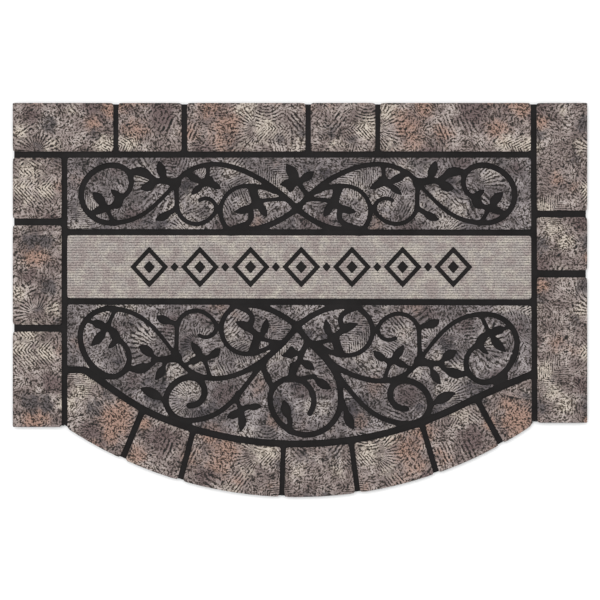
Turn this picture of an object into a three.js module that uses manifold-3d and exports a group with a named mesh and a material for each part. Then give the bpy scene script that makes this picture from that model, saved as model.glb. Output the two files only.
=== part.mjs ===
import * as THREE from 'three';
import { mergeVertices } from 'three/addons/utils/BufferGeometryUtils.js';
import Module from 'manifold-3d';

// Entrance mat with a bowed front edge: a black rubber base that carries a printed felt face.
// Open channels part the felt into eighteen stones, a centre band and two panels of scrollwork.
// Millimetres. X runs along the width, Y from the bowed edge to the straight one, Z up from the floor.

// Outline of the felt face
const halfWidth = 444.5;
const straightEdge = 305;
const bowCentre = new THREE.Vector2(-4, 344);
const bowRadius = 649;
const bowLeft = -366;
const bowRight = 360;
const leftFoot = -196.5;
const rightFoot = -190;

// Heights
const baseThickness = 6.2;
const glueLine = 0.3;
const feltThickness = 2.5;
const webThickness = 0.5;
const feltUnderside = baseThickness + glueLine;
const feltTop = feltUnderside + feltThickness;

// Edges: the base is set in under the felt, and the felt's upper rim is eased
const baseSetIn = 2;
const baseCorner = 4;
const rimEase = 0.8;

// A panel's web ends this far from the centre line of the channel beside it
const bandRim = 3.8;
const sideRim = 3.5;
const borderRim = 4.2;
const bowRim = 4.6;

// The channels melt into each other in fillets of about two and a half times this size
const fillet = 1.7;
const outlineGrid = 1.6;
const outlineTolerance = 0.24;
const smallestIsland = 14;

// Straight channels between the stones, and around the band and the panels.
// A channel that meets another ends just short of its centre line
const meeting = 5;
const sideChannel = { left: -364.4, right: 362.2 };
const bandTop = 104.6;
const bandBottom = -2.8;
const panelTop = 224.9;
const straightChannels = table(['x0', 'y0', 'x1', 'y1', 'width'],
  [sideChannel.left, panelTop - meeting, sideChannel.left, -220, 8.6],
  [sideChannel.right - 0.8, 320, sideChannel.right + 0.8, -215, 8.8],
  [-460, panelTop, sideChannel.right - meeting, panelTop, 9.6],
  [sideChannel.left + meeting, bandTop + 0.5, sideChannel.right - meeting, bandTop - 0.5, 9.4],
  [sideChannel.left + meeting, bandBottom + 0.9, sideChannel.right - meeting, bandBottom - 0.9, 9.8],
  [-460, 120.8, sideChannel.left - meeting, 120.8, 10.4],
  [-460, -43.6, sideChannel.left - meeting, -43.6, 10.4],
  [sideChannel.right + meeting, 133.2, 460, 133.2, 10],
  [sideChannel.right + meeting, 40.5, 460, 40.5, 11],
  [-284.9, 320, -284.9, panelTop + meeting, 7.6],
  [-179, 320, -179, panelTop + meeting, 8.4],
  [12.6, 320, 12.6, panelTop + meeting, 8],
  [120.3, 320, 120.3, panelTop + meeting, 7.4],
  [-244.7, -173.5, -281, -261, 9.2],
  [-165.7, -204.5, -189, -293, 8.6],
  [-25.7, -227.4, -29, -320, 7.6],
  [79.3, -221.7, 91.5, -314, 8],
  [189.2, -194.2, 216, -284, 8.6],
  [275.1, -156, 320, -239, 9]);

// The bowed channel under the lower panel: a short level start, a circle, and a flatter end on each side
const bowChannel = {
  width: 10.6, radius: 566.8, leftSpread: 22, rightSpread: 27, startHeading: -33, endHeading: 22 };
const bowChannelStart = new THREE.Vector2(-334, -108);
const bowChannelEnd = new THREE.Vector2(sideChannel.right - meeting, -115.5);

// A point that lies on each stone gives it its name
const stones = table(['name', 'x', 'y'],
  ['brick_top_1', -365, 265],
  ['brick_top_2', -232, 265],
  ['brick_top_3', -83, 265],
  ['brick_top_4', 66, 265],
  ['brick_top_5', 240, 265],
  ['brick_left_1', -405, 172],
  ['brick_left_2', -405, 38],
  ['brick_left_3', -405, -120],
  ['brick_right_1', 403, 220],
  ['brick_right_2', 403, 87],
  ['brick_right_3', 403, -75],
  ['brick_bow_1', -320, -165],
  ['brick_bow_2', -220, -220],
  ['brick_bow_3', -100, -250],
  ['brick_bow_4', 30, -265],
  ['brick_bow_5', 140, -245],
  ['brick_bow_6', 245, -210],
  ['brick_bow_7', 325, -160]);

// Scrollwork, drawn for the left half about its own centre line and mirrored to the right.
// A volute leaves its root, rounds its ring and winds in to its eye. Angles are in degrees.
const scrollAxis = -4.5;
const lowerLean = -0.015;

// Each channel of the scrollwork is pressed this much wider than its table says
const pressedOut = 1;

// The right half isn't a true mirror image: how far it stands off one, at each distance from the axis
const upperTwin = table(['away', 'shift'], [0, 0], [50, -5.5], [130, -5], [190, 0], [260, 1], [340, 3]);
const lowerTwin = table(['away', 'shift'], [0, 0], [60, -3], [125, 0], [190, 3], [260, 2], [340, 5]);
const voluteColumns = ['rootX', 'rootY', 'heading', 'ringX', 'ringY', 'ringR', 'eyeX', 'eyeY', 'eyeR',
  'from', 'sweep', 'easeFrom', 'easeTo', 'rootW', 'bellyW', 'endW'];
const upperVolutes = table(voluteColumns,
  [-188, 180, 228, -289, 164, 45, -282, 182.5, 25.8, -90, -348, 0.25, 0.75, 4.6, 8, 5.6],
  [-187, 182, 270, -156, 147.5, 30, -141.4, 141, 16.2, 180, 305, 0.3, 0.65, 6, 5.6, 5],
  [-36, 168, 152, -79, 137, 39.4, -79, 137, 39.4, 85, 150, 0, 1, 6, 5.6, 7],
  [-98, 112, 10, -85, 131, 14.5, -85, 131, 14.5, -72, 112, 0, 1, 5.6, 7.2, 7]);
const lowerVolutes = table(voluteColumns,
  [-187, -90, 126, -289.5, -64.5, 46.8, -290, -93.5, 30.6, 90, 345, 0.2, 0.6, 4.6, 8, 6],
  [-187, -90, 90, -156, -48.8, 30, -141.4, -43.5, 16.4, 180, -305, 0.3, 0.65, 6, 5.6, 5],
  [-36, -70, 208, -79, -46.5, 38.2, -79, -46.5, 38.2, -85, -150, 0, 1, 6, 6.2, 7],
  [-98, -11, -5, -86, -34, 18, -87, -33, 15, 68, -118, 0.2, 1, 5, 7, 8],
  [-50, -95, 231, -170.5, -156, 33, -165, -144, 22, -90, -365, 0.2, 0.6, 6, 8.4, 8.4]);
const middleVolutes = table(voluteColumns,
  [38, -80, -50, 13, -154, 54.5, -8, -155.5, 34, 0, -395, 0.25, 0.6, 8, 7.8, 7.6]);

// Arches and stems: cubic curves with a width at each end
const stemColumns = ['x0', 'y0', 'x1', 'y1', 'x2', 'y2', 'x3', 'y3', 'startW', 'endW'];
const upperStems = table(stemColumns,
  [-188, 181, -142, 239, -60, 202, 0, 141.5, 6, 7.6],
  [0, 141, 21.5, 123, 45, 108.5, 78, 108.5, 7.4, 7.4],
  [-186, 181, -200, 184, -212, 185, -221, 184, 12, 5],
  [-221, 184, -228, 190, -240, 197, -257, 196, 4.6, 4.6],
  [-281.5, 119, -286.5, 125, -291.5, 133, -294, 142, 5, 5],
  [-295, 142, -290, 143, -284, 145, -280, 149, 6, 7],
  [-138, 205, -137, 196, -139, 188, -145, 182, 5, 5],
  [-145, 182, -142, 182, -139, 182, -136, 181, 5, 5],
  [-69, 172, -67, 166, -65, 157, -62, 148, 12.6, 11],
  [-62, 152, -52, 154, -42, 156, -22, 156, 5, 5],
  [-62, 151, -64, 149, -67, 146, -71, 145, 6, 6],
  [-187, 142, -190, 140, -193, 138, -197, 136, 5, 5]);
const upperMiddleStems = table(stemColumns,
  [3, 184, 4, 178, 8, 171, 16, 163, 6, 6]);
const lowerStems = table(stemColumns,
  [-187, -90, -146, -154, -58, -120, 0, -41, 6, 8],
  [0, -40.5, 21.5, -23, 45, -8.5, 78, -8, 7.6, 7.6],
  [-185, -92, -200, -95, -212, -96, -222, -95, 13, 5],
  [-220.5, -96, -225, -106, -236, -112, -262, -110, 4, 4],
  [-283, -23, -287, -31, -290.5, -38, -293, -46, 5, 5],
  [-295, -46, -293, -48, -291, -50, -288, -52, 4.4, 4.4],
  [-136, -117, -138, -109, -140, -102, -144, -95, 5, 5],
  [-144, -94, -142, -94, -141, -93, -139, -92, 5, 5],
  [-68, -80, -66, -74, -64, -65, -61, -58, 12.6, 11],
  [-61, -59, -52, -62, -42, -65, -24, -66, 5, 5],
  [-61, -57, -63, -54, -66, -51, -70, -49, 7, 7],
  [-187, -40, -190, -39, -193, -38, -197, -36.5, 5, 5]);
const lowerMiddleStems = table(stemColumns,
  [-8, -121, -8, -115, -6, -109, -5, -103, 10, 13],
  [-2, -101, 5, -98, 4, -86, 13, -71, 5.4, 8],
  [4, -123, 11, -120, 19, -117.5, 27, -118, 5, 5],
  [-11, -203, -11, -197, -11, -191, -11, -185, 6, 6],
  [71, -156, 72, -160, 74, -165, 76, -170, 5, 5],
  [-92, -146, -94, -154, -92, -162, -87, -170, 5, 5],
  [-87, -170, -84, -170, -81, -168, -78, -166, 5, 5],
  [-52, -100, -51, -104, -50, -108, -50, -112, 5, 5],
  [-43, -128, -41, -131, -39, -134, -37, -137, 5, 5],
  [-316, -114, -312, -117, -308, -120, -303, -123.5, 5, 5],
  [307, -122, 312, -120, 317, -117, 322, -114, 8, 8]);

// Leaves: the foot of each, the way it points, its length and width, and how far its rib bows to the left
const leafColumns = ['x', 'y', 'angle', 'length', 'width', 'bow'];
const upperLeaves = table(leafColumns,
  [-271, 160, 148, 20, 10, 0.1],
  [-274, 161, 250, 20, 15, 0.1],
  [-296, 143, 131, 31, 15, -0.1],
  [-319, 135, 16, 26, 12.5, 0],
  [-222, 189, 160, 36, 14, -0.18],
  [-217.5, 181.3, 200, 26, 15, 0.1],
  [-202, 186, 112, 31, 15, 0.12],
  [-194, 137, 207, 28, 13, 0.1],
  [-143.5, 178, 217, 25, 11, -0.1],
  [-138.5, 180.5, -22, 22, 11.5, 0.1],
  [-173, 196, -28, 30, 13, 0],
  [-69, 145.5, 199, 29, 12, 0.1],
  [-57, 151, -65, 24, 12.5, -0.12],
  [-136, 180, 68, 11, 9, 0]);
const upperMiddleLeaves = table(leafColumns,
  [2, 183, 124, 32, 17, 0],
  [4, 181, 184, 30, 14, -0.04],
  [-8.5, 184, 262, 17, 12, 0],
  [3, 183.8, 33, 27, 14, -0.08]);
const lowerLeaves = table(leafColumns,
  [-295, -47, 230, 37, 14.5, 0.1],
  [-278, -64, 226, 21, 9, 0.1],
  [-274, -68, 126, 27, 14, 0],
  [-320, -38.5, -16, 26, 14, 0],
  [-220, -92, 146, 30, 15.5, -0.1],
  [-222.5, -101.5, 195, 38, 16, 0.16],
  [-204, -101, 239, 30, 13.5, 0.1],
  [-205.5, -160, 152, 42, 16.5, -0.1],
  [-144, -91, 129, 30, 13, 0.1],
  [-139, -92, 36, 25, 13, -0.1],
  [-170.5, -101.5, 24, 26, 12, 0],
  [-68, -49, 154, 30, 13, -0.1],
  [-55.6, -58.4, 73, 30, 12.5, -0.1],
  [-194, -37.5, 158, 25, 14, 0.1]);
const lowerMiddleLeaves = table(leafColumns,
  [6, -82, 190, 30, 12, -0.08],
  [-9.5, -88, 84, 16, 11.5, 0],
  [5, -94, -31, 25, 13.5, 0.05],
  [26, -118.5, -34, 32, 14.5, -0.1],
  [-11, -186, 107, 32, 15.5, 0.08],
  [75, -167, -68, 34, 16, -0.1],
  [-87, -172, 207, 24, 13, 0.1],
  [-85, -172, -94, 33, 13, 0.08],
  [-78.5, -169, 8, 24, 11, 0.1],
  [-52.5, -107, -67, 28, 11.5, 0.06]);

// Seven plain lozenges with a small one between each pair lie along the band
const lozengeRow = { centreX: 2, centreY: 51, count: 7, pitch: 78.4, line: 6.6 };
const lozengeFrame = { halfWidth: 25, halfHeight: 27 };
const lozengeHeart = { halfWidth: 9, halfHeight: 10 };
const lozengeStud = { halfWidth: 6.5, halfHeight: 7.5 };

// Each line of a table becomes an object that has the columns' names
function table(columns, ...lines) {
  return lines.map((line) => Object.fromEntries(columns.map((name, index) => [name, line[index]])));
}

function polar(origin, angle, length) {
  const radians = THREE.MathUtils.degToRad(angle);
  return new THREE.Vector2(origin.x + length * Math.cos(radians), origin.y + length * Math.sin(radians));
}

// A stroke is a chain of points with a half width at each, and a box around it all
function strokeOf(points, widthAt) {
  const last = points.length - 1;
  const chain = points.map((point, index) => ({ x: point.x, y: point.y, half: widthAt(index / last) / 2 }));
  return { chain, bounds: new THREE.Box2().setFromPoints(points) };
}

function distanceToStroke(stroke, x, y) {
  let nearest = Infinity;
  for (let index = 1; index < stroke.chain.length; index++) {
    const start = stroke.chain[index - 1];
    const end = stroke.chain[index];
    const runX = end.x - start.x;
    const runY = end.y - start.y;
    const length = runX * runX + runY * runY;
    const along = length > 0 ? ((x - start.x) * runX + (y - start.y) * runY) / length : 0;
    const share = Math.min(1, Math.max(0, along));
    const away = Math.hypot(x - start.x - share * runX, y - start.y - share * runY);
    nearest = Math.min(nearest, away - start.half - share * (end.half - start.half));
  }
  return nearest;
}

// Paths of the scrollwork, each in its own panel's coordinates
function volutePath(row) {
  const steps = 48;
  const stemSteps = 14;
  const ring = [];
  for (let step = 0; step <= steps; step++) {
    const share = step / steps;
    const ease = THREE.MathUtils.smoothstep(share, row.easeFrom, row.easeTo);
    const centre = new THREE.Vector2(row.ringX, row.ringY).lerp(new THREE.Vector2(row.eyeX, row.eyeY), ease);
    const radius = THREE.MathUtils.lerp(row.ringR, row.eyeR, ease);
    ring.push(polar(centre, row.from + row.sweep * share, radius));
  }
  const root = new THREE.Vector2(row.rootX, row.rootY);
  const pull = 0.4 * root.distanceTo(ring[0]);
  const arrival = row.from + (row.sweep > 0 ? 90 : -90);
  const stalk = new THREE.CubicBezierCurve(
    root,
    polar(root, row.heading, pull),
    polar(ring[0], arrival, -pull),
    ring[0]);
  return [...stalk.getPoints(stemSteps), ...ring.slice(1)];
}

function volute(row) {
  const mean = (row.rootW + row.endW) / 2;
  const widthAt = (share) => THREE.MathUtils.lerp(row.rootW, row.endW, share)
    + (row.bellyW - mean) * Math.sin(Math.PI * share);
  return { points: volutePath(row), widthAt };
}

function stem(row) {
  const curve = new THREE.CubicBezierCurve(
    new THREE.Vector2(row.x0, row.y0),
    new THREE.Vector2(row.x1, row.y1),
    new THREE.Vector2(row.x2, row.y2),
    new THREE.Vector2(row.x3, row.y3));
  const stepLength = 4;
  const steps = Math.ceil(curve.getLength() / stepLength) + 2;
  const widthAt = (share) => THREE.MathUtils.lerp(row.startW, row.endW, share);
  return { points: curve.getPoints(steps), widthAt };
}

// A leaf has a thin stalk and a lozenge-shaped blade, and its tip bends a little to one side
function leaf(row) {
  const foot = new THREE.Vector2(row.x, row.y);
  const tip = polar(foot, row.angle, row.length);
  const bend = polar(polar(foot, row.angle, row.length / 2), row.angle + 90, row.length * row.bow);
  const stalkWidth = 4;
  const stalkEnd = 0.16;
  const fullFrom = 0.42;
  const fullTo = 0.62;
  const fullness = 0.8;
  const steps = 16;
  const blade = row.width - fillet;
  const widthAt = (share) => {
    const opened = THREE.MathUtils.clamp((share - stalkEnd) / (fullFrom - stalkEnd), 0, 1);
    const rise = THREE.MathUtils.lerp(Math.min(stalkWidth, blade), blade, opened);
    const fall = Math.min(1, (1 - share) / (1 - fullTo));
    return rise * Math.pow(fall, fullness);
  };
  return { points: new THREE.QuadraticBezierCurve(foot, bend, tip).getPoints(steps), widthAt };
}

function twinShift(twin, away) {
  const next = Math.max(1, twin.findIndex((row) => row.away > away));
  const from = twin[next - 1];
  const to = twin[next];
  return THREE.MathUtils.mapLinear(away, from.away, to.away, from.shift, to.shift);
}

function placed(path, lean) {
  const points = path.points.map((point) => {
    const x = scrollAxis + point.x;
    return new THREE.Vector2(x, point.y + lean * x);
  });
  return strokeOf(points, (share) => path.widthAt(share) + pressedOut);
}

function twinOf(path, twin) {
  const points = path.points.map((point) => (
    new THREE.Vector2(twinShift(twin, Math.abs(point.x)) - point.x, point.y)));
  return { points, widthAt: path.widthAt };
}

function scrollStrokes(pairs, singles, twin, lean) {
  const twins = pairs.map((path) => twinOf(path, twin));
  return [...pairs, ...twins, ...singles].map((path) => placed(path, lean));
}

function bowChannelPath() {
  const steps = 24;
  const endSteps = 8;
  const pull = 0.33;
  const leftJoin = polar(bowCentre, -90 - bowChannel.leftSpread, bowChannel.radius);
  const rightJoin = polar(bowCentre, -90 + bowChannel.rightSpread, bowChannel.radius);
  const leftPull = pull * leftJoin.distanceTo(bowChannelStart);
  const rightPull = pull * rightJoin.distanceTo(bowChannelEnd);
  const left = new THREE.CubicBezierCurve(
    bowChannelStart,
    polar(bowChannelStart, bowChannel.startHeading, leftPull),
    polar(leftJoin, 180 - bowChannel.leftSpread, leftPull),
    leftJoin);
  const right = new THREE.CubicBezierCurve(
    rightJoin,
    polar(rightJoin, bowChannel.rightSpread, rightPull),
    polar(bowChannelEnd, 180 + bowChannel.endHeading, rightPull),
    bowChannelEnd);
  const round = [];
  for (let step = 1; step < steps; step++) {
    const turn = THREE.MathUtils.lerp(-bowChannel.leftSpread, bowChannel.rightSpread, step / steps);
    round.push(polar(bowCentre, turn - 90, bowChannel.radius));
  }
  const levelStart = new THREE.Vector2(sideChannel.left + meeting, bowChannelStart.y);
  return [levelStart, ...left.getPoints(endSteps), ...round, ...right.getPoints(endSteps)];
}

// How far a point lies inside the mat's outline; outside it the number is negative
function insideOutline(x, y) {
  const foot = x < 0 ? leftFoot : rightFoot;
  const inBlock = Math.min(halfWidth - Math.abs(x), straightEdge - y, y - foot);
  const belowFeltSides = -100 - y;
  const inCircle = bowRadius - Math.hypot(x - bowCentre.x, y - bowCentre.y);
  const inBow = Math.min(inCircle, x - bowLeft, bowRight - x, belowFeltSides);
  return Math.max(inBlock, inBow);
}

function lozengeEdge(size, x, y) {
  const slope = size.halfWidth * size.halfHeight / Math.hypot(size.halfWidth, size.halfHeight);
  return (Math.abs(x) / size.halfWidth + Math.abs(y) / size.halfHeight - 1) * slope;
}

function lozengeDistance(x, y) {
  const across = x - lozengeRow.centreX;
  const up = y - lozengeRow.centreY;
  const reach = (lozengeRow.count - 1) / 2;
  const place = THREE.MathUtils.clamp(Math.round(across / lozengeRow.pitch), -reach, reach);
  const gap = THREE.MathUtils.clamp(Math.round(across / lozengeRow.pitch - 0.5), -reach, reach - 1) + 0.5;
  const fromPlace = across - place * lozengeRow.pitch;
  const frame = Math.abs(lozengeEdge(lozengeFrame, fromPlace, up)) - lozengeRow.line / 2;
  const heart = lozengeEdge(lozengeHeart, fromPlace, up);
  const stud = lozengeEdge(lozengeStud, across - gap * lozengeRow.pitch, up);
  return Math.min(frame, heart, stud);
}

const bowPath = bowChannelPath();
const channels = [
  ...straightChannels.map((row) => strokeOf(
    [new THREE.Vector2(row.x0, row.y0), new THREE.Vector2(row.x1, row.y1)], () => row.width)),
  strokeOf(bowPath, () => bowChannel.width),
  ...scrollStrokes(
    [...upperVolutes.map(volute), ...upperStems.map(stem), ...upperLeaves.map(leaf)],
    [...upperMiddleStems.map(stem), ...upperMiddleLeaves.map(leaf)], upperTwin, 0),
  ...scrollStrokes(
    [...lowerVolutes.map(volute), ...lowerStems.map(stem), ...lowerLeaves.map(leaf)],
    [...middleVolutes.map(volute), ...lowerMiddleStems.map(stem), ...lowerMiddleLeaves.map(leaf)],
    lowerTwin, lowerLean)];

// Positive on felt, negative in a channel. Channels that meet are blended, which rounds the felt's corners
function feltField(x, y) {
  const reach = 14;
  let sum = Math.exp(-insideOutline(x, y) / fillet);
  sum += Math.exp(-lozengeDistance(x, y) / fillet);
  for (const stroke of channels) {
    const { min, max } = stroke.bounds;
    if (x < min.x - reach || x > max.x + reach || y < min.y - reach || y > max.y + reach) continue;
    sum += Math.exp(-distanceToStroke(stroke, x, y) / fillet);
  }
  return -fillet * Math.log(sum);
}

// The felt's outlines: marching squares on a fine grid, with felt on the left of every step
function traceFelt() {
  const across = Math.ceil(2 * (halfWidth + outlineGrid) / outlineGrid);
  const up = Math.ceil(2 * (straightEdge + outlineGrid) / outlineGrid);
  const left = -across * outlineGrid / 2;
  const low = -up * outlineGrid / 2;
  const value = new Float64Array((across + 1) * (up + 1));
  for (let j = 0; j <= up; j++) {
    for (let i = 0; i <= across; i++) {
      value[j * (across + 1) + i] = feltField(left + i * outlineGrid, low + j * outlineGrid);
    }
  }
  const next = new Map();
  const crossing = new Map();
  const corners = [[0, 0], [1, 0], [1, 1], [0, 1]];
  for (let j = 0; j < up; j++) {
    for (let i = 0; i < across; i++) {
      const leaving = [];
      const entering = [];
      corners.forEach(([di, dj], side) => {
        const [ei, ej] = corners[(side + 1) % 4];
        const here = (j + dj) * (across + 1) + i + di;
        const there = (j + ej) * (across + 1) + i + ei;
        if ((value[here] > 0) === (value[there] > 0)) return;
        const key = 2 * Math.min(here, there) + (di === ei ? 1 : 0);
        const share = value[here] / (value[here] - value[there]);
        crossing.set(key, new THREE.Vector2(
          left + (i + di + share * (ei - di)) * outlineGrid,
          low + (j + dj + share * (ej - dj)) * outlineGrid));
        (value[here] > 0 ? leaving : entering).push({ key, side });
      });
      const centre = leaving.length === 2
        ? feltField(left + (i + 0.5) * outlineGrid, low + (j + 0.5) * outlineGrid) : 0;
      for (const from of leaving) {
        const turn = centre > 0 ? 1 : 3;
        const paired = entering.find(({ side }) => side === (from.side + turn) % 4);
        const to = entering.length === 1 ? entering[0] : paired;
        next.set(from.key, to.key);
      }
    }
  }
  const loops = [];
  while (next.size > 0) {
    const loop = [];
    let key = next.keys().next().value;
    while (next.has(key)) {
      loop.push(crossing.get(key));
      const following = next.get(key);
      next.delete(key);
      key = following;
    }
    loops.push(loop);
  }
  return loops;
}

// Two steps along the field's slope put a traced point on the true edge
function settle(point) {
  const nudge = 0.02;
  for (let round = 0; round < 2; round++) {
    const here = feltField(point.x, point.y);
    const slopeX = (feltField(point.x + nudge, point.y) - here) / nudge;
    const slopeY = (feltField(point.x, point.y + nudge) - here) / nudge;
    const steepness = Math.max(0.25, slopeX * slopeX + slopeY * slopeY);
    point.x -= here * slopeX / steepness;
    point.y -= here * slopeY / steepness;
  }
  return point;
}

// Keeps only the points that the outline needs
function thinned(points) {
  if (points.length < 3) return points;
  const first = points[0];
  const last = points[points.length - 1];
  const run = last.clone().sub(first);
  const length = run.length();
  let farthest = 0;
  let split = 0;
  for (let index = 1; index < points.length - 1; index++) {
    const off = points[index].clone().sub(first);
    const away = length > 0 ? Math.abs(run.cross(off)) / length : off.length();
    if (away > farthest) {
      farthest = away;
      split = index;
    }
  }
  if (farthest < outlineTolerance) return [first, last];
  return [...thinned(points.slice(0, split + 1)).slice(0, -1), ...thinned(points.slice(split))];
}

function thinnedLoop(loop) {
  const opposite = loop.reduce((best, point, index) => (
    point.distanceTo(loop[0]) > loop[best].distanceTo(loop[0]) ? index : best), 0);
  const there = thinned(loop.slice(0, opposite + 1));
  const back = thinned([...loop.slice(opposite), loop[0]]);
  return [...there.slice(0, -1), ...back.slice(0, -1)];
}

function holds(loop, x, y) {
  let inside = false;
  loop.forEach((start, index) => {
    const end = loop[(index + 1) % loop.length];
    if ((start.y > y) === (end.y > y)) return;
    const crossingX = start.x + (y - start.y) / (end.y - start.y) * (end.x - start.x);
    if (x < crossingX) inside = !inside;
  });
  return inside;
}

const loops = traceFelt()
  .filter((loop) => Math.abs(THREE.ShapeUtils.area(loop)) > smallestIsland)
  .map((loop) => thinnedLoop(loop.map(settle)));
const islands = loops
  .filter((loop) => THREE.ShapeUtils.area(loop) > 0)
  .map((loop) => new THREE.Shape(loop));
for (const hole of loops.filter((loop) => THREE.ShapeUtils.area(loop) < 0)) {
  const around = islands
    .filter((island) => holds(island.getPoints(), hole[0].x, hole[0].y))
    .sort((one, two) => THREE.ShapeUtils.area(one.getPoints()) - THREE.ShapeUtils.area(two.getPoints()));
  around[0].holes.push(new THREE.Path(hole));
}

// Solids
const wasm = await Module();
wasm.setup();

function solidOf(geometry) {
  geometry.deleteAttribute('normal');
  geometry.deleteAttribute('uv');
  const merged = mergeVertices(geometry, 1e-4);
  return new wasm.Manifold(new wasm.Mesh({
    numProp: 3,
    vertProperties: merged.attributes.position.array,
    triVerts: merged.index.array }));
}

function geometryOf(solid) {
  const mesh = solid.getMesh();
  const geometry = new THREE.BufferGeometry();
  geometry.setAttribute('position', new THREE.BufferAttribute(mesh.vertProperties, 3));
  geometry.setIndex(new THREE.BufferAttribute(mesh.triVerts, 1));
  geometry.computeVertexNormals();
  return geometry;
}

function slab(shape, bottom, top) {
  const geometry = new THREE.ExtrudeGeometry(shape, {
    depth: top - bottom,
    bevelEnabled: false,
    curveSegments: 16 });
  geometry.translate(0, 0, bottom);
  return geometry;
}

// A pad has upright sides and an eased upper rim. The lower rim's ease is cut away below the pad
function pad(shape) {
  const geometry = new THREE.ExtrudeGeometry(shape, {
    depth: feltThickness,
    bevelEnabled: true,
    bevelThickness: rimEase,
    bevelSize: rimEase,
    bevelOffset: -rimEase,
    bevelSegments: 1 });
  geometry.translate(0, 0, feltUnderside - rimEase);
  const below = new THREE.BoxGeometry(2 * halfWidth + 20, 2 * straightEdge + 20, 4);
  below.translate(0, 0, feltUnderside - 2);
  return solidOf(geometry).subtract(solidOf(below));
}

function rectangle(left, right, bottom, top) {
  return new THREE.Shape([
    new THREE.Vector2(left, bottom),
    new THREE.Vector2(right, bottom),
    new THREE.Vector2(right, top),
    new THREE.Vector2(left, top)]);
}

// The base: a block with two square feet and the bow between them, its corners rounded
function baseShape() {
  const side = halfWidth - baseSetIn;
  const head = straightEdge - baseSetIn;
  const radius = bowRadius - baseSetIn;
  const bowY = (x) => bowCentre.y - Math.sqrt(radius * radius - (x - bowCentre.x) ** 2);
  const angleAt = (x) => Math.atan2(bowY(x) - bowCentre.y, x - bowCentre.x);
  const leftY = leftFoot + baseSetIn;
  const rightY = rightFoot + baseSetIn;
  const shape = new THREE.Shape();
  shape.moveTo(-side, leftY + baseCorner);
  shape.quadraticCurveTo(-side, leftY, -side + baseCorner, leftY);
  shape.lineTo(bowLeft, leftY);
  shape.absarc(bowCentre.x, bowCentre.y, radius, angleAt(bowLeft), angleAt(bowRight), false);
  shape.lineTo(bowRight, rightY);
  shape.lineTo(side - baseCorner, rightY);
  shape.quadraticCurveTo(side, rightY, side, rightY + baseCorner);
  shape.lineTo(side, head - baseCorner);
  shape.quadraticCurveTo(side, head, side - baseCorner, head);
  shape.lineTo(-side + baseCorner, head);
  shape.quadraticCurveTo(-side, head, -side, head - baseCorner);
  return shape;
}

// The lower panel's plate follows the bowed channel's inner edge
function lowerPlateShape(left, right, top) {
  const inner = bowPath.map((point, index) => {
    const before = bowPath[Math.max(0, index - 1)];
    const after = bowPath[Math.min(bowPath.length - 1, index + 1)];
    const along = after.clone().sub(before).normalize();
    return new THREE.Vector2(point.x - along.y * bowRim, point.y + along.x * bowRim);
  });
  const between = inner.filter((point) => point.x > left + 1 && point.x < right - 1);
  const last = between[between.length - 1];
  const startY = inner[0].y;
  const endY = last.y + Math.tan(THREE.MathUtils.degToRad(bowChannel.endHeading)) * (right - last.x);
  return new THREE.Shape([
    new THREE.Vector2(left, startY),
    ...between,
    new THREE.Vector2(right, endY),
    new THREE.Vector2(right, top),
    new THREE.Vector2(left, top)]);
}

function centreOf(island) {
  return new THREE.Box2().setFromPoints(island.getPoints()).getCenter(new THREE.Vector2());
}

// A web at the channels' floor joins the felt that stands above it into one panel
function panel(plateShape, tops) {
  const overlap = 0.2;
  let solid = solidOf(slab(plateShape, feltUnderside, feltUnderside + webThickness));
  for (const top of tops) {
    solid = solid.add(solidOf(slab(top, feltUnderside + webThickness - overlap, feltTop)));
  }
  return geometryOf(solid);
}

const innerLeft = sideChannel.left + sideRim;
const innerRight = sideChannel.right - sideRim;
const isStone = (island) => stones.some((stone) => holds(island.getPoints(), stone.x, stone.y));
const inPanel = islands.filter((island) => !isStone(island));
const upperTops = inPanel.filter((island) => centreOf(island).y > bandTop);
const bandTops = inPanel.filter((island) => centreOf(island).y <= bandTop && centreOf(island).y > bandBottom);
const lowerTops = inPanel.filter((island) => centreOf(island).y <= bandBottom);

const rubber = new THREE.MeshStandardMaterial({
  name: 'black_rubber', color: 0x2b2929, roughness: 0.75, metalness: 0 });
const stoneFelt = new THREE.MeshStandardMaterial({
  name: 'stone_felt', color: 0x7d716c, roughness: 0.95, metalness: 0 });
const scrollFelt = new THREE.MeshStandardMaterial({
  name: 'scroll_felt', color: 0x787270, roughness: 0.95, metalness: 0 });
const bandFelt = new THREE.MeshStandardMaterial({
  name: 'band_felt', color: 0x9e9691, roughness: 0.95, metalness: 0 });

const mat = new THREE.Group();

function addPiece(name, geometry, material) {
  const piece = new THREE.Mesh(geometry, material.clone());
  piece.name = name;
  mat.add(piece);
}

addPiece('rubber_base', slab(baseShape(), 0, baseThickness), rubber);
for (const stone of stones) {
  const shape = islands.find((island) => holds(island.getPoints(), stone.x, stone.y));
  addPiece(stone.name, geometryOf(pad(shape)), stoneFelt);
}
const bandPlate = rectangle(innerLeft, innerRight, bandBottom + bandRim, bandTop - bandRim);
const upperPlate = rectangle(innerLeft, innerRight, bandTop + bandRim, panelTop - borderRim);
const lowerPlate = lowerPlateShape(innerLeft, innerRight, bandBottom - bandRim);
addPiece('centre_band', panel(bandPlate, bandTops), bandFelt);
addPiece('scroll_panel_upper', panel(upperPlate, upperTops), scrollFelt);
addPiece('scroll_panel_lower', panel(lowerPlate, lowerTops), scrollFelt);

export default mat;
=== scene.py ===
import math

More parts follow.
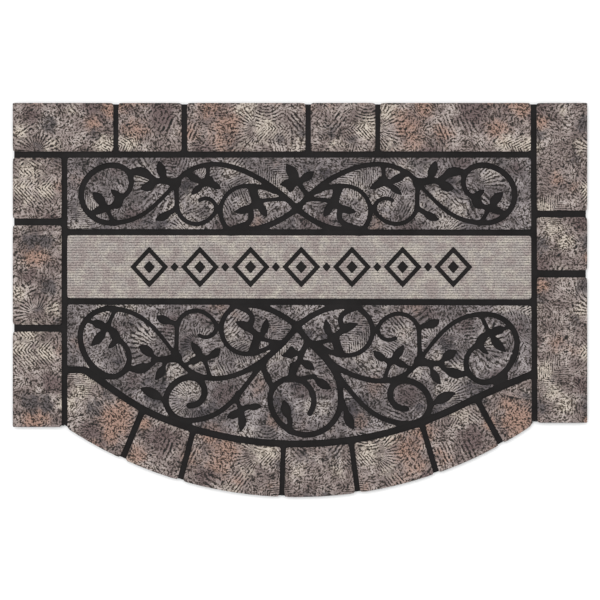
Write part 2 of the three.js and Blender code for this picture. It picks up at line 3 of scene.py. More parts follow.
import bmesh
import bpy
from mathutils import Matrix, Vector


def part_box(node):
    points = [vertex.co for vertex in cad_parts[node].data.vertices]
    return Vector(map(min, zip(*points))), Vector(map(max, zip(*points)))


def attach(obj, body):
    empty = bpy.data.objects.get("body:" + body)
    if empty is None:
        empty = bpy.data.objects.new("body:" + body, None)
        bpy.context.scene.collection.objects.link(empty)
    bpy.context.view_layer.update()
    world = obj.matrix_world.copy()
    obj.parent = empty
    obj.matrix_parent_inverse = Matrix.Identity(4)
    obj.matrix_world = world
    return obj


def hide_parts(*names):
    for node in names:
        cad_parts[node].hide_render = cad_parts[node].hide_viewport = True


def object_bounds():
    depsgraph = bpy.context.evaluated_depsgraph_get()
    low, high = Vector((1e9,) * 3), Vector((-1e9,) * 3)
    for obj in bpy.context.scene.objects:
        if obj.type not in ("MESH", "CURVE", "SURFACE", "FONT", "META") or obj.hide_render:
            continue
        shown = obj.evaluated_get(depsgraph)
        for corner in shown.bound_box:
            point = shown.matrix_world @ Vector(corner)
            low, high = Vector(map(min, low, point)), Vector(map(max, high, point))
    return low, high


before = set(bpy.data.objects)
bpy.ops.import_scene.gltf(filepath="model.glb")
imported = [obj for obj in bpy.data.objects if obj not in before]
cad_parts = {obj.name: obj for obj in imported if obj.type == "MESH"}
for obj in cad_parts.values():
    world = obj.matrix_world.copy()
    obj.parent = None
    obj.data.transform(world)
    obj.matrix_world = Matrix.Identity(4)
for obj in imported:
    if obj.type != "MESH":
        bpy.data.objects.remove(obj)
cad_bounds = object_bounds()


# The rubber base: one slab of black crumb rubber, pressed in a mould that leaves a smooth skin on top
# and a fine grain below. The felt is moulded onto it, so its top is raised here to the felt's underside.
mm = 0.001
weld = 0.002 * mm
flat_join = math.radians(0.5)
glue_line = 0.3 * mm
base_round = 0.7 * mm
level_slack = 0.02 * mm
flat_facing = 0.9
rubber_colour = "#171515"
rubber_bloom = "#201e1e"
bloom_size = 40
granule = 1.6
skin_grain = 5.0


def linear(code):
    """Turns an sRGB hex colour into linear red, green, blue and alpha."""
    shares = [int(code[at:at + 2], 16) / 255 for at in (1, 3, 5)]
    curved = [s / 12.92 if s <= 0.04045 else ((s + 0.055) / 1.055) ** 2.4 for s in shares]
    return (*curved, 1.0)


def add(material, kind, inputs=None, **settings):
    """Adds a shader node: a value goes into a socket, and another node's output is linked to it."""
    node = material.node_tree.nodes.new("ShaderNode" + kind)
    for name, value in settings.items():
        setattr(node, name, value)
    for name, value in (inputs or {}).items():
        if isinstance(value, bpy.types.NodeSocket):
            material.node_tree.links.new(value, node.inputs[name])
        else:
            node.inputs[name].default_value = value
    return node


def new_finish(name, roughness, ior):
    """A material with the plain surface of its kind, and its Principled node."""
    material = bpy.data.materials.new(name)
    material.use_nodes = True
    surface = material.node_tree.nodes["Principled BSDF"]
    surface.inputs["Roughness"].default_value = roughness
    surface.inputs["IOR"].default_value = ior
    return material, surface


def place_in_mm(material):
    """The object's own coordinates, in millimetres."""
    spot = add(material, "TexCoord").outputs["Object"]
    return add(material, "VectorMath", {0: spot, "Scale": 1 / mm}, operation="SCALE").outputs[0]


def merged_copy(node, name):
    """A new piece in a CAD node's shape, with its triangles joined into whole faces, left in edit mode."""
    bpy.ops.object.select_all(action="DESELECT")
    piece = bpy.data.objects.new(name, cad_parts[node].data.copy())
    bpy.context.scene.collection.objects.link(piece)
    bpy.context.view_layer.objects.active = piece
    piece.select_set(True)
    piece.data.materials.clear()
    bpy.ops.object.mode_set(mode="EDIT")
    bpy.ops.mesh.select_all(action="SELECT")
    bpy.ops.mesh.customdata_custom_splitnormals_clear()
    bpy.ops.mesh.remove_doubles(threshold=weld)
    bpy.ops.mesh.dissolve_limited(angle_limit=flat_join)
    return piece


def select_edges(piece, wanted):
    """Selects only the edges that the test names."""
    bpy.ops.mesh.select_mode(type="EDGE")
    bpy.ops.mesh.select_all(action="DESELECT")
    for edge in bmesh.from_edit_mesh(piece.data).edges:
        edge.select_set(wanted(edge))
    bmesh.update_edit_mesh(piece.data)


def select_faces(piece, wanted):
    """Selects only the faces that the test names."""
    bpy.ops.mesh.select_mode(type="FACE")
    bpy.ops.mesh.select_all(action="DESELECT")
    for face in bmesh.from_edit_mesh(piece.data).faces:
        face.select_set(wanted(face))
    bmesh.update_edit_mesh(piece.data)


def level_edge_at(height):
    """A test for the edges that lie level at a height."""
    return lambda edge: all(abs(vertex.co.z - height) < level_slack for vertex in edge.verts)


# Moulded crumb rubber: nearly black and dull, with a faint bloom where the skin has scuffed
rubber, rubber_surface = new_finish("moulded_crumb_rubber", roughness=0.62, ior=1.52)
rubber_place = place_in_mm(rubber)
bloom = add(rubber, "TexNoise", {"Vector": rubber_place, "Scale": 1 / bloom_size, "Detail": 4.0,
                                 "Roughness": 0.6})
bloom_share = add(rubber, "MapRange", {"Value": bloom.outputs[0], "From Min": 0.35, "From Max": 0.75})
rubber_tone = add(rubber, "Mix", {0: bloom_share.outputs[0], 6: linear(rubber_colour),
                                  7: linear(rubber_bloom)}, data_type="RGBA")
grains = add(rubber, "TexVoronoi", {"Vector": rubber_place, "Scale": 1 / granule})
skin = add(rubber, "TexNoise", {"Vector": rubber_place, "Scale": 1 / skin_grain, "Detail": 3.0})
grain_height = add(rubber, "Math", {0: grains.outputs["Distance"], 1: skin.outputs[0]}, operation="ADD")
rubber_bump = add(rubber, "Bump", {"Height": grain_height.outputs[0], "Strength": 0.25, "Distance": 0.2 * mm})
rubber.node_tree.links.new(rubber_tone.outputs[2], rubber_surface.inputs["Base Color"])
rubber.node_tree.links.new(rubber_bump.outputs[0], rubber_surface.inputs["Normal"])
rubber_surface.inputs["Specular IOR Level"].default_value = 0.1

base_low, base_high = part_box("rubber_base")
base = merged_copy("rubber_base", "moulded_base")
select_faces(base, lambda face: face.normal.z > flat_facing)
bpy.ops.transform.translate(value=(0, 0, glue_line))
base_top = base_high.z + glue_line
select_edges(base, lambda edge: level_edge_at(base_top)(edge) or level_edge_at(0)(edge))
bpy.ops.mesh.bevel(offset=base_round, segments=3, clamp_overlap=True)
bpy.ops.mesh.select_all(action="SELECT")
bpy.ops.mesh.normals_make_consistent(inside=False)
bpy.ops.object.mode_set(mode="OBJECT")
bpy.ops.object.shade_smooth_by_angle(angle=math.radians(35))
base.data.materials.append(rubber)
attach(base, "root")
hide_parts("rubber_base")


# The stones of the surround: pads of needled felt, pressed onto the rubber so that each pad's rim is
# rounded. The felt is printed before it is pressed, with mottled stone under faded fern fronds, in a
# repeat that comes round every 251 mm and is mirrored about a line near the middle of the mat.
stone_grid = 6 * mm
pad_round = 0.35 * mm
rim_depth = 0.8 * mm
repeat_height = 251.4
mirror_line = 26.1
stroke_pitch = 5.0
stray_pitch = 4.8
stray_cell = 17
stray_share = 0.42
fibre_size = 0.9
print_facing = 0.15

# Patches of another tint in the repeat: the tint, how far out from the mirror line, how high, their size
# in mm, and how fully they cover the ground
repeat_patches = [
    ("cream", 200, 115, 19, 0.9), ("cream", 220, 140, 14, 1), ("cream", 190, 160, 14, 0.9),
    ("cream", 155, 140, 14, 0.7), ("cream", 270, 195, 18, 0.75), ("cream", 133, 200, 15, 0.9),
    ("cream", 60, 172, 20, 0.7), ("cream", 30, 240, 16, 0.5), ("cream", 85, 150, 18, 0.6),
    ("cream", 330, 240, 13, 1), ("cream", 290, 243, 14, 0.95), ("cream", 312, 243, 11, 0.8),
    ("cream", 365, 110, 15, 0.8), ("cream", 385, 90, 14, 0.85), ("cream", 350, 140, 16, 0.85),
    ("cream", 420, 170, 12, 1), ("cream", 445, 200, 18, 0.8), ("cream", 458, 176, 15, 0.8),
    ("cream", 80, 15, 19, 0.85), ("cream", 110, 42, 17, 0.8), ("cream", 225, 75, 20, 0.55),
    ("cream", 10, 86, 12, 0.9), ("cream", 460, 10, 12, 0.9), ("cream", 408, 238, 13, 0.65),
    ("cream", 446, 158, 13, 0.6), ("cream", 380, 42, 9, 0.6), ("cream", 100, 180, 14, 0.5),
    ("cream", 172, 203, 10, 0.5), ("cream", 115, 150, 14, 0.5), ("cream", 110, 240, 14, 0.5),
    ("rust", 310, 66, 25, 1), ("rust", 320, 43, 14, 0.95), ("rust", 345, 23, 13, 0.9),
    ("rust", 278, 12, 17, 0.75), ("rust", 298, 88, 18, 0.7), ("rust", 438, 68, 17, 1),
    ("rust", 420, 66, 10, 0.7), ("rust", 268, 60, 11, 0.9), ("rust", 165, 46, 18, 0.85),
    ("rust", 140, 22, 24, 0.75), ("rust", 65, 65, 13, 0.9), ("rust", 92, 118, 16, 0.7),
    ("rust", 150, 246, 22, 0.65), ("rust", 125, 226, 16, 0.45), ("rust", 133, 200, 9, 0.45),
    ("rust", 190, 160, 9, 0.3), ("rust", 196, 8, 18, 0.6), ("rust", 371, 186, 14, 0.6),
    ("rust", 398, 176, 11, 0.5), ("rust", 20, 50, 16, 0.4), ("rust", 70, 214, 13, 0.4),
    ("rust", 296, 13, 10, 0.6),
    ("umber", 240, 36, 23, 0.95), ("umber", 175, 229, 15, 0.9), ("umber", 202, 190, 15, 0.7),
    ("umber", 226, 214, 17, 0.8), ("umber", 152, 36, 18, 0.45), ("umber", 350, 50, 16, 0.9),
    ("umber", 332, 30, 9, 0.8), ("umber", 140, 104, 22, 1), ("umber", 118, 100, 10, 0.6),
    ("umber", 282, 130, 14, 0.95), ("umber", 310, 205, 13, 0.8), ("umber", 410, 121, 17, 0.9),
    ("umber", 440, 38, 15, 0.8), ("umber", 18, 117, 20, 0.75), ("umber", 16, 30, 16, 0.5),
    ("umber", 396, 60, 11, 0.6), ("umber", 340, 190, 10, 0.7), ("umber", 292, 45, 9, 0.6),
    ("slate", 50, 80, 15, 1), ("slate", 62, 94, 15, 0.85), ("slate", 420, 90, 13, 1),
    ("slate", 441, 91, 15, 1), ("slate", 176, 76, 12, 1), ("slate", 192, 92, 7, 0.9),
    ("slate", 250, 100, 13, 1), ("slate", 240, 116, 13, 0.75), ("slate", 262, 122, 11, 0.7),
    ("slate", 200, 181, 12, 0.9), ("slate", 216, 168, 9, 0.8), ("slate", 345, 85, 13, 0.9),
    ("slate", 325, 105, 11, 0.7), ("slate", 335, 215, 11, 0.55), ("slate", 414, 20, 13, 0.95),
    ("slate", 400, 218, 12, 0.6), ("slate", 22, 10, 16, 0.6), ("slate", 281, 222, 11, 0.6),
    ("slate", 432, 238, 8, 0.7), ("slate", 57, 249, 8, 0.8), ("slate", 14, 196, 11, 0.85),
    ("slate", 345, 4, 9, 0.85), ("slate", 160, 86, 9, 0.8), ("slate", 36, 122, 12, 0.6),
    ("slate", 306, 156, 8, 0.8),
]

# Strokes in the repeat: their kind, how far out, how high, which way they run in degrees, how far they
# reach, their half width (for a fan or rings, the half angle in degrees) and their spacing, in mm
repeat_fronds = [
    ("fern", 62, 194, 45, 28, 24, 4.6), ("bars", 120, 222, -50, 20, 15, 4.8),
    ("bars", 56, 228, 75, 10, 8, 4.0), ("bars", 141, 142, 65, 13, 11, 4.2),
    ("rings", 78, 64, -90, 62, 42, 4.8), ("bars", 8, 154, 15, 12, 9, 5.0),
    ("fern", 70, 14, 180, 30, 17, 5.0), ("fan", 88, 12, 0, 42, 75, 4.4),
    ("bars", 34, 24, 50, 16, 13, 6.0), ("bars", 160, 218, 30, 15, 13, 8.0),
    ("fan", 183, 184, 80, 30, 110, 4.0), ("bars", 208, 206, -70, 15, 10, 5.0),
    ("bars", 236, 200, 5, 16, 13, 5.2), ("fan", 241, 178, 15, 54, 58, 6.4),
    ("bars", 214, 161, -45, 15, 13, 5.2), ("bars", 238, 141, -68, 18, 13, 9.0),
    ("bars", 260, 160, -45, 20, 12, 7.0), ("fan", 192, 98, -30, 42, 95, 3.9),
    ("bars", 209, 70, 60, 14, 12, 4.0), ("bars", 243, 70, -40, 12, 10, 4.2),
    ("bars", 334, 86, 50, 12, 10, 4.2), ("fern", 360, 135, 225, 28, 22, 3.9),
    ("fern", 442, 193, 180, 30, 12, 5.6), ("fern", 440, 174, 0, 34, 26, 5.4),
    ("fan", 434, 230, 60, 34, 130, 5.0), ("bars", 446, 8, -32, 16, 11, 5.6),
    ("bars", 437, 210, 35, 16, 9, 5.4), ("bars", 378, 42, 55, 12, 9, 6.5),
    ("bars", 200, 14, -65, 15, 14, 5.4), ("bars", 232, 20, -65, 16, 12, 6.6),
    ("fern", 312, 236, 160, 22, 12, 5.0), ("bars", 305, 172, 70, 18, 12, 5.2),
    ("fern", 118, 172, 20, 20, 15, 4.6), ("bars", 120, 76, -25, 20, 10, 5.2),
]

# Pale grass stalks in the repeat: from (out, high), to (out, high), how far they bow, and the gap
# between the two stalks of a pair, in mm
repeat_stalks = [
    (388, 5, 346, 14, 1.5, 4.0), (86, 10, 128, 19, -1.0, 3.6), (230, 119, 290, 111, 2.0, 3.8),
    (284, 111, 332, 101, -2.0, 3.2), (33, 102, 67, 101, 0.0, 0.0), (398, 104, 450, 101, 1.0, 2.8),
    (371, 214, 371, 168, 8.0, 0.0), (404, 202, 406, 168, -7.0, 0.0), (250, 131, 292, 116, 1.0, 0.0),
    (338, 222, 318, 202, 1.0, 0.0), (312, 186, 324, 150, -2.0, 0.0), (175, 160, 225, 128, -3.0, 0.0),
    (372, 30, 388, 52, -3.0, 0.0), (12, 240, 40, 214, 4.0, 0.0),
]


def wrapped(rise):
    """The shorter way round the repeat between two heights."""
    return (rise + repeat_height / 2) % repeat_height - repeat_height / 2


def faded(measure, whole, gone):
    """A share that is 1 up to one measure and has faded to 0 at another."""
    level = min(1.0, max(0.0, (gone - measure) / (gone - whole)))
    return level * level * (3 - 2 * level)


def patch_shares(out, up):
    """How much rust, umber, cream and slate the print holds at a point."""
    shares = {"rust": 0.0, "umber": 0.0, "cream": 0.0, "slate": 0.0}
    far, fall = 2.5, -0.7
    for tint, patch_out, patch_up, size, cover in repeat_patches:
        away = math.hypot(out - patch_out, wrapped(up - patch_up)) / size
        if away < far:
            shares[tint] = max(shares[tint], cover * math.exp(fall * away * away))
    return shares


def strokes_at(out, up):
    """How far on in its row of strokes a point is, how far from the stem, and the strokes' force."""
    nearest, best, second = (0.0, 0.0, 1.0), 9.0, 9.0
    fan_middle, ring_middle = 0.62, 0.6
    for kind, frond_out, frond_up, turn, reach, width, pitch in repeat_fronds:
        across, rise = out - frond_out, wrapped(up - frond_up)
        turned = math.radians(turn)
        along = across * math.cos(turned) + rise * math.sin(turned)
        beside = rise * math.cos(turned) - across * math.sin(turned)
        radius, angle = math.hypot(along, beside), math.atan2(beside, along)
        scale = stroke_pitch / pitch
        if kind == "fern":
            inside = max(abs(along) / reach, abs(beside) / width)
            found = (along * scale, beside * scale, 1.0)
        elif kind == "bars":
            inside = max(abs(along) / reach, abs(beside) / width)
            found = (beside * scale, 0.0, -1.0)
        elif kind == "fan":
            off_middle = abs(radius / reach - fan_middle) / (1 - fan_middle)
            inside = max(off_middle, abs(math.degrees(angle)) / width)
            found = (angle * 0.7 * reach * scale, 0.0, -1.0)
        else:
            off_middle = abs(radius / reach - ring_middle) / (1 - ring_middle)
            inside = max(off_middle, abs(math.degrees(angle)) / width)
            found = (radius * scale, 0.0, -1.0)
        if inside < best:
            nearest, best, second = found, inside, best
        elif inside < second:
            second = inside
    force = faded(best, 0.7, 1.15) * (1 - faded(second - best, 0.0, 0.2))
    return nearest[0], nearest[1], nearest[2] * force


def stalk_at(out, up):
    """How far a point is from the nearest stalk's line, the gap of its pair, and the stalk's force."""
    nearest, best, beside_reach = (0.0, 0.0, 0.0), 9.0, 12
    for from_out, from_up, to_out, to_up, bow, gap in repeat_stalks:
        half = math.hypot(to_out - from_out, to_up - from_up) / 2
        turned = math.atan2(to_up - from_up, to_out - from_out)
        across = out - (from_out + to_out) / 2
        rise = wrapped(up - (from_up + to_up) / 2)
        along = (across * math.cos(turned) + rise * math.sin(turned)) / half
        beside = rise * math.cos(turned) - across * math.sin(turned)
        beside -= bow * (1 - along * along)
        inside = max(abs(along), abs(beside) / beside_reach)
        if inside < best:
            nearest, best = (beside, gap, faded(abs(along), 0.8, 1.1)), inside
    return nearest


def lay_print(piece):
    """Writes the print's patches, strokes and stalks, and the share of painted shade towards the rim, into
    each point of a piece of felt.
    """
    layers = {"print_patches": "FLOAT_COLOR", "print_strokes": "FLOAT_VECTOR",
              "print_stalks": "FLOAT_VECTOR", "painted_rim_shade": "FLOAT"}
    for name, kind in layers.items():
        piece.data.attributes.new(name, kind, "POINT")
    patches, strokes, stalks, rim_shade_shares = (piece.data.attributes[name].data for name in layers)
    top = max(vertex.co.z for vertex in piece.data.vertices)
    for index, vertex in enumerate(piece.data.vertices):
        out = abs(vertex.co.x / mm - mirror_line)
        up = (vertex.co.y / mm) % repeat_height
        shares = patch_shares(out, up)
        patches[index].color = tuple(shares.values())
        strokes[index].vector = strokes_at(out, up)
        stalks[index].vector = stalk_at(out, up)
        # The share of painted shade at the rim: none on the top face, full from the rim's depth down
        rim_shade_shares[index].value = min(1.0, (top - vertex.co.z) / rim_depth)


def printed_felt(name, tints, stroke_reach, fleck_reach):
    """Needled polyester felt with the stone print: mottled ground, ragged patches, strokes and flecks."""
    # How far noise pushes the strokes in mm, how far a frond's strokes lean back from its stem, how hard the
    # patches' edges are torn, how much painted shade darkens the felt towards its rim, and what the depth of
    # the dark lines does to the ink
    waver, drift, worm = 4.0, 26, 13.0
    lean = 0.9
    tear_force, patch_cover = 1.7, 0.92
    rim_shade_darkening, dark_bend = -0.7, -0.38
    tint_powers = (1.0, 1.08, 1.16)
    felt, surface = new_finish(name, roughness=0.94, ior=1.5)
    place = place_in_mm(felt)

    # Noise of several sizes in mm: the mottle, the patches' torn edges, the drift and the wavering of the
    # strokes, where they are worn away, the flecks and their clots, and the felt's own fibre
    sizes = (("mottle", 24, 6.0, 0.6), ("tear", 12, 6.0, 0.75), ("drift", 40, 2.0, 0.5),
             ("waver", 7, 2.0, 0.5), ("worn", 9, 4.0, 0.6), ("fleck", 2.8, 3.0, 0.7),
             ("worm", 8, 3.0, 0.6), ("clot", 5.5, 2.0, 0.6), ("fibre", fibre_size, 2.0, 0.5))
    noises = {}
    for use, size, detail, roughness in sizes:
        noises[use] = add(felt, "TexNoise", {"Vector": place, "Scale": 1 / size, "Detail": detail,
                                             "Roughness": roughness})

    ground = linear(tints["shade"])
    for tint, low, high in (("ground", 0.38, 0.52), ("pale", 0.5, 0.64)):
        share = add(felt, "MapRange", {"Value": noises["mottle"].outputs[0], "From Min": low,
                                       "From Max": high}, interpolation_type="SMOOTHSTEP")
        ground = add(felt, "Mix", {0: share.outputs[0], 6: ground, 7: linear(tints[tint])},
                     data_type="RGBA").outputs[2]

    # The patches, each torn at its edge by noise of its own
    torn = add(felt, "SeparateColor", {"Color": noises["tear"].outputs["Color"]})
    patches = add(felt, "Attribute", attribute_name="print_patches")
    parts = add(felt, "SeparateColor", {"Color": patches.outputs["Color"]})
    for tint, tear, cover in (("cream", torn.outputs[2], parts.outputs[2]),
                              ("rust", torn.outputs[0], parts.outputs[0]),
                              ("umber", torn.outputs[1], parts.outputs[1]),
                              ("slate", noises["worn"].outputs[0], patches.outputs["Alpha"])):
        ragged = add(felt, "Math", {0: tear, 1: tear_force, 2: cover}, operation="MULTIPLY_ADD")
        share = add(felt, "MapRange", {"Value": ragged.outputs[0], "From Min": 1.0, "From Max": 1.7,
                                       "To Max": patch_cover}, interpolation_type="SMOOTHSTEP")
        ground = add(felt, "Mix", {0: share.outputs[0], 6: ground, 7: linear(tints[tint])},
                     data_type="RGBA").outputs[2]

    # The fronds: rows of strokes across a stem, or bars without one
    laid = add(felt, "SeparateXYZ", {
        "Vector": add(felt, "Attribute", attribute_name="print_strokes").outputs["Vector"]})
    drawn = add(felt, "Math", {0: laid.outputs["Z"]}, operation="ABSOLUTE")
    beside = add(felt, "Math", {0: laid.outputs["Y"]}, operation="ABSOLUTE")
    run = add(felt, "Math", {0: noises["waver"].outputs[0], 1: waver, 2: laid.outputs["X"]},
              operation="MULTIPLY_ADD")
    run = add(felt, "Math", {0: beside.outputs[0], 1: lean, 2: run.outputs[0]}, operation="MULTIPLY_ADD")
    phase = add(felt, "Math", {0: run.outputs[0], 1: 2 * math.pi / stroke_pitch}, operation="MULTIPLY")
    row = add(felt, "Math", {0: phase.outputs[0]}, operation="SINE")

    # Between them: stray strokes, whose direction changes from cell to cell
    pushed = add(felt, "VectorMath", {0: noises["drift"].outputs["Color"], 1: (drift, drift, 0), 2: place},
                 operation="MULTIPLY_ADD")
    cells = add(felt, "TexVoronoi", {"Vector": pushed.outputs[0], "Scale": 1 / stray_cell},
                voronoi_dimensions="2D")
    dice = add(felt, "SeparateColor", {"Color": cells.outputs["Color"]})
    turn = add(felt, "Math", {0: dice.outputs[0], 1: 2 * math.pi}, operation="MULTIPLY")
    turned = add(felt, "VectorRotate", {"Vector": pushed.outputs[0], "Angle": turn.outputs[0]},
                 rotation_type="Z_AXIS")
    stray_part = add(felt, "SeparateXYZ", {"Vector": turned.outputs[0]})
    worm_run = add(felt, "Math", {0: noises["worm"].outputs[0], 1: worm, 2: stray_part.outputs["X"]},
                   operation="MULTIPLY_ADD")
    stray_phase = add(felt, "Math", {0: worm_run.outputs[0], 1: 2 * math.pi / stray_pitch},
                      operation="MULTIPLY")
    stray = add(felt, "Math", {0: stray_phase.outputs[0]}, operation="SINE")
    faint = add(felt, "Math", {0: stray.outputs[0], 1: stray_share}, operation="MULTIPLY")
    strokes = add(felt, "Mix", {0: drawn.outputs[0], 2: faint.outputs[0], 3: row.outputs[0]})
    crisp = add(felt, "MapRange", {"Value": strokes.outputs[0], "From Min": -0.8, "From Max": 0.8,
                                   "To Min": -1.0, "To Max": 1.0}, interpolation_type="SMOOTHSTEP")
    strength = add(felt, "MapRange", {"Value": noises["worn"].outputs[0], "From Min": 0.32, "From Max": 0.6,
                                      "To Min": 0.15 * stroke_reach, "To Max": stroke_reach})
    fleck = add(felt, "MapRange", {"Value": noises["fleck"].outputs[0], "From Min": 0.3,
                                   "From Max": 0.7, "To Min": -fleck_reach, "To Max": fleck_reach})
    clot = add(felt, "MapRange", {"Value": noises["clot"].outputs[0], "From Min": 0.3,
                                  "From Max": 0.7, "To Min": -0.6 * fleck_reach, "To Max": 0.6 * fleck_reach})
    grain = add(felt, "Math", {0: fleck.outputs[0], 1: clot.outputs[0]}, operation="ADD")
    ink = add(felt, "Math", {0: crisp.outputs[0], 1: strength.outputs[0], 2: grain.outputs[0]},
              operation="MULTIPLY_ADD").outputs[0]

    # The pale stalks, one or two side by side, with a dark seam along each
    stalk = add(felt, "SeparateXYZ", {
        "Vector": add(felt, "Attribute", attribute_name="print_stalks").outputs["Vector"]})
    apart = add(felt, "Math", {0: stalk.outputs["X"]}, operation="ABSOLUTE")
    half_gap = add(felt, "Math", {0: stalk.outputs["Y"], 1: 0.5}, operation="MULTIPLY")
    off_line = add(felt, "Math", {0: apart.outputs[0], 1: half_gap.outputs[0]}, operation="SUBTRACT")
    from_line = add(felt, "Math", {0: off_line.outputs[0]}, operation="ABSOLUTE")
    for inner, outer, depth in ((1.7, 3.8, -0.9), (0.8, 2.1, 2.1)):
        band = add(felt, "MapRange", {"Value": from_line.outputs[0], "From Min": inner, "From Max": outer,
                                      "To Min": depth, "To Max": 0.0}, interpolation_type="SMOOTHSTEP")
        ink = add(felt, "Math", {0: band.outputs[0], 1: stalk.outputs["Z"], 2: ink},
                  operation="MULTIPLY_ADD").outputs[0]

    # Painted shade: the felt is darker towards its rim, as shade on its rounded shoulder
    rim = add(felt, "Attribute", attribute_name="painted_rim_shade")
    ink = add(felt, "Math", {0: rim.outputs["Fac"], 1: rim_shade_darkening, 2: ink}, operation="MULTIPLY_ADD").outputs[0]

    # The dark lines are cut deeper than the pale ones rise; the printed tints keep their warmth in both
    bent = add(felt, "Math", {0: ink, 1: dark_bend, 2: 1.0}, operation="MULTIPLY_ADD")
    depth = add(felt, "Math", {0: ink, 1: bent.outputs[0]}, operation="MULTIPLY")
    factor = add(felt, "Math", {0: depth.outputs[0]}, operation="EXPONENT")
    shares = {index: add(felt, "Math", {0: factor.outputs[0], 1: weight}, operation="POWER").outputs[0]
              for index, weight in enumerate(tint_powers)}
    inked = add(felt, "CombineColor", shares)
    colour = add(felt, "Mix", {0: 1.0, 6: ground, 7: inked.outputs[0]}, data_type="RGBA",
                 blend_type="MULTIPLY")
    felt.node_tree.links.new(colour.outputs[2], surface.inputs["Base Color"])

    nap = add(felt, "Bump", {"Height": noises["fibre"].outputs[0], "Strength": 0.35, "Distance": 0.25 * mm})
    felt.node_tree.links.new(nap.outputs[0], surface.inputs["Normal"])
    surface.inputs["Sheen Weight"].default_value = 0.1
    surface.inputs["Sheen Roughness"].default_value = 0.6
    return felt


def cut_grid(low, high, step):
    """Cuts the piece in edit mode along a square grid, so that the print can vary over its face."""
    for axis in (0, 1):
        count = int((high[axis] - low[axis]) / step)
        for line in range(1, count + 1):
            spot = Vector((0, 0, 0))
            facing = Vector((0, 0, 0))
            spot[axis] = low[axis] + (high[axis] - low[axis]) * line / (count + 1)
            facing[axis] = 1
            bpy.ops.mesh.select_all(action="SELECT")
            bpy.ops.mesh.bisect(plane_co=spot, plane_no=facing, threshold=0.001 * mm)


# Needled felt with the stone print: warm grey-brown, with rust, cream, umber and slate patches
stone_felt = printed_felt(
    "needled_felt_stone_print",
    {"shade": "#594d49", "ground": "#6e625d", "pale": "#857a74",
     "rust": "#7a6053", "umber": "#4d3f3d", "cream": "#968b7f", "slate": "#3d3737"},
    stroke_reach=1.8, fleck_reach=2.05)

# The cut side of the felt: painted dark, as shade along the felt's sides
shade_painted_felt_side, felt_side_surface = new_finish("felt_side_painted_shade", roughness=0.85, ior=1.5)
side_place = place_in_mm(shade_painted_felt_side)
side_fibre = add(shade_painted_felt_side, "TexNoise", {"Vector": side_place, "Scale": 1 / fibre_size, "Detail": 3.0})
side_share = add(shade_painted_felt_side, "MapRange", {"Value": side_fibre.outputs[0], "From Min": 0.35, "From Max": 0.65},
                 interpolation_type="SMOOTHSTEP")
side_painted_shade_tone = add(shade_painted_felt_side, "Mix", {0: side_share.outputs[0], 6: linear("#2c2827"), 7: linear("#4a4341")},
                data_type="RGBA")
side_bump = add(shade_painted_felt_side, "Bump", {"Height": side_fibre.outputs[0], "Strength": 0.4, "Distance": 0.2 * mm})
shade_painted_felt_side.node_tree.links.new(side_painted_shade_tone.outputs[2], felt_side_surface.inputs["Base Color"])
shade_painted_felt_side.node_tree.links.new(side_bump.outputs[0], felt_side_surface.inputs["Normal"])

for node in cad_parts:
    if not node.startswith("brick"):
        continue
    low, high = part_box(node)
    stone = merged_copy(node, "felt_" + node)
    rim_low = high.z - rim_depth
    select_edges(stone, lambda edge: level_edge_at(high.z)(edge) or level_edge_at(rim_low)(edge))
    bpy.ops.mesh.bevel(offset=pad_round, segments=2, clamp_overlap=True)
    cut_grid(low, high, stone_grid)
    bpy.ops.mesh.select_mode(type="VERT")
    bpy.ops.object.mode_set(mode="OBJECT")
    bpy.ops.object.shade_smooth_by_angle(angle=math.radians(40))
    stone.data.materials.append(stone_felt)
    stone.data.materials.append(shade_painted_felt_side)
    # The steep sides take the felt side painted dark as shade
    for face in stone.data.polygons:
        face.material_index = 0 if face.normal.z > print_facing else 1
    lay_print(stone)
    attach(stone, "root")
    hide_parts(node)


# The two scroll panels: one sheet of printed felt each, in greyer tints, with the scrollwork pressed
# through it as open channels. The channels' floor is the rubber that comes through the felt.
panel_grid = 8 * mm
panel_round = 0.8 * mm
floor_reach = 0.6 * mm

# Needled felt with the same print in greyer and darker tints
scroll_felt = printed_felt(
    "needled_felt_grey_print",
    {"shade": "#4b4443", "ground": "#605857", "pale": "#766e6c",
     "rust": "#615049", "umber": "#443938", "cream": "#847b75", "slate": "#302b2d"},
    stroke_reach=1.9, fleck_reach=2.25)


def pressed_panel(node, name, felt, grid):
    """A felt panel with eased rims, its cut sides painted dark as shade, and its rubber channel floors."""
    low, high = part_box(node)
    panel = merged_copy(node, name)
    select_edges(panel, level_edge_at(high.z))
    mesh = bmesh.from_edit_mesh(panel.data)
    for edge in mesh.edges:
        if edge.select and all(face.normal.z > flat_facing for face in edge.link_faces):
            edge.select_set(False)
    bmesh.update_edit_mesh(panel.data)
    bpy.ops.mesh.bevel(offset=panel_round, segments=2, clamp_overlap=False)
    cut_grid(low, high, grid)
    bpy.ops.mesh.select_mode(type="VERT")
    bpy.ops.object.mode_set(mode="OBJECT")
    bpy.ops.object.shade_smooth_by_angle(angle=math.radians(40))
    for material in (felt, shade_painted_felt_side, rubber):
        panel.data.materials.append(material)
    floor_height = low.z + floor_reach
    # Steep sides take the felt side painted dark as shade; low upward faces take the rubber
    for face in panel.data.polygons:
        upward = face.normal.z > print_facing
        face.material_index = 1 if not upward else 2 if face.center.z < floor_height else 0
    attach(panel, "root")
    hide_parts(node)
    return panel


for node in ("scroll_panel_upper", "scroll_panel_lower"):
    scroll = pressed_panel(node, "felt_" + node, scroll_felt, panel_grid)
    lay_print(scroll)


# The centre band: a light felt strip with fine ribs along its length, and a row of plain lozenges
# pressed through it down to the rubber.
rib_pitch = 3.9
rib_depth = 0.12
blotch_size = 20
speck_size = 2.2
band_grid = 60 * mm
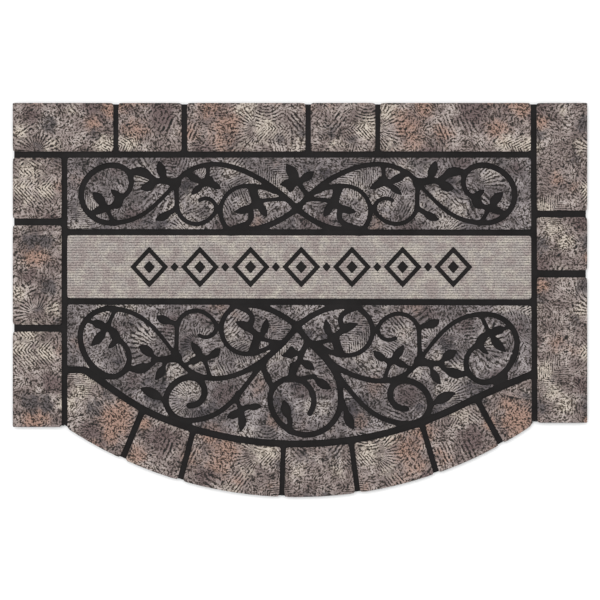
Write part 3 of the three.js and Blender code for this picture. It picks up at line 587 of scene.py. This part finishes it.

# Light needled felt: a warm grey with soft blotches, fine ribs with painted light and shade on them as well
# as a bump, and specks of fibre
band_felt, band_surface = new_finish("ribbed_needled_felt", roughness=0.94, ior=1.5)
band_place = place_in_mm(band_felt)
blotch = add(band_felt, "TexNoise", {"Vector": band_place, "Scale": 1 / blotch_size, "Detail": 5.0,
                                     "Roughness": 0.7})
blotches = add(band_felt, "SeparateColor", {"Color": blotch.outputs["Color"]})
band_tone = linear("#89827e")
for index, tint in enumerate(("#9b948b", "#807572")):
    share = add(band_felt, "MapRange", {"Value": blotches.outputs[index], "From Min": 0.45, "From Max": 0.6,
                                        "To Max": 0.9}, interpolation_type="SMOOTHSTEP")
    band_tone = add(band_felt, "Mix", {0: share.outputs[0], 6: band_tone, 7: linear(tint)},
                    data_type="RGBA").outputs[2]
band_parts = add(band_felt, "SeparateXYZ", {"Vector": band_place})
rib_phase = add(band_felt, "Math", {0: band_parts.outputs["Y"], 1: 2 * math.pi / rib_pitch},
                operation="MULTIPLY")
rib = add(band_felt, "Math", {0: rib_phase.outputs[0]}, operation="SINE")
band_speck = add(band_felt, "TexNoise", {"Vector": band_place, "Scale": 1 / speck_size, "Detail": 2.0,
                                         "Roughness": 0.7})
rib_share = add(band_felt, "Math", {0: rib.outputs[0], 1: rib_depth, 2: 0.5}, operation="MULTIPLY_ADD")
rib_and_speck = add(band_felt, "Math", {0: rib_share.outputs[0], 1: band_speck.outputs[0]},
                    operation="ADD")
# Painted light and shade of the ribs, together with the real fibre specks, lightens and darkens the colour
painted_rib_light_and_specks = add(band_felt, "MapRange", {"Value": rib_and_speck.outputs[0], "From Min": 0.7,
                                         "From Max": 1.3, "To Min": 0.15, "To Max": 1.9})
painted_rib_light_and_specks_grey = add(band_felt, "CombineColor", {index: painted_rib_light_and_specks.outputs[0] for index in range(3)})
band_tone = add(band_felt, "Mix", {0: 1.0, 6: band_tone, 7: painted_rib_light_and_specks_grey.outputs[0]}, data_type="RGBA",
                blend_type="MULTIPLY").outputs[2]
band_nap = add(band_felt, "Bump", {"Height": rib_and_speck.outputs[0], "Strength": 0.5,
                                   "Distance": 0.3 * mm})
band_felt.node_tree.links.new(band_tone, band_surface.inputs["Base Color"])
band_felt.node_tree.links.new(band_nap.outputs[0], band_surface.inputs["Normal"])
band_surface.inputs["Sheen Weight"].default_value = 0.12
band_surface.inputs["Sheen Roughness"].default_value = 0.6

band = pressed_panel("centre_band", "felt_centre_band", band_felt, band_grid)


# The stage: a plain white floor, soft light from all round, and a camera straight above the mat
floor_size = 8.0
bpy.ops.mesh.primitive_plane_add(size=floor_size, location=(0, 0, 0))
floor = bpy.context.active_object
floor.name = "floor"
paper, paper_surface = new_finish("matte_white_paper", roughness=0.9, ior=1.45)
paper_surface.inputs["Base Color"].default_value = linear("#f7f7f7")
paper_surface.inputs["Specular IOR Level"].default_value = 0.1
floor.data.materials.append(paper)

sky_strength = 0.98
sky = bpy.data.worlds.new("studio")
bpy.context.scene.world = sky
sky.use_nodes = True
sky.node_tree.nodes["Background"].inputs["Color"].default_value = (1, 1, 1, 1)
sky.node_tree.nodes["Background"].inputs["Strength"].default_value = sky_strength

window_strength = 1.1
window_spread = math.radians(40)
lamp = bpy.data.lights.new("window", "SUN")
lamp.energy = window_strength
lamp.angle = window_spread
window = bpy.data.objects.new("window", lamp)
window.rotation_euler = (math.radians(-20), math.radians(-14), 0)
bpy.context.scene.collection.objects.link(window)

frame_width = 0.928
camera_height = 3.0
sensor = 36.0
lens = bpy.data.cameras.new("camera")
lens.sensor_width = sensor
lens.lens = sensor * camera_height / frame_width
camera = bpy.data.objects.new("camera", lens)
camera.location = (0, 0, camera_height + cad_bounds[1][2])
bpy.context.scene.collection.objects.link(camera)
bpy.context.scene.camera = camera
bpy.context.scene.view_settings.view_transform = "Standard"
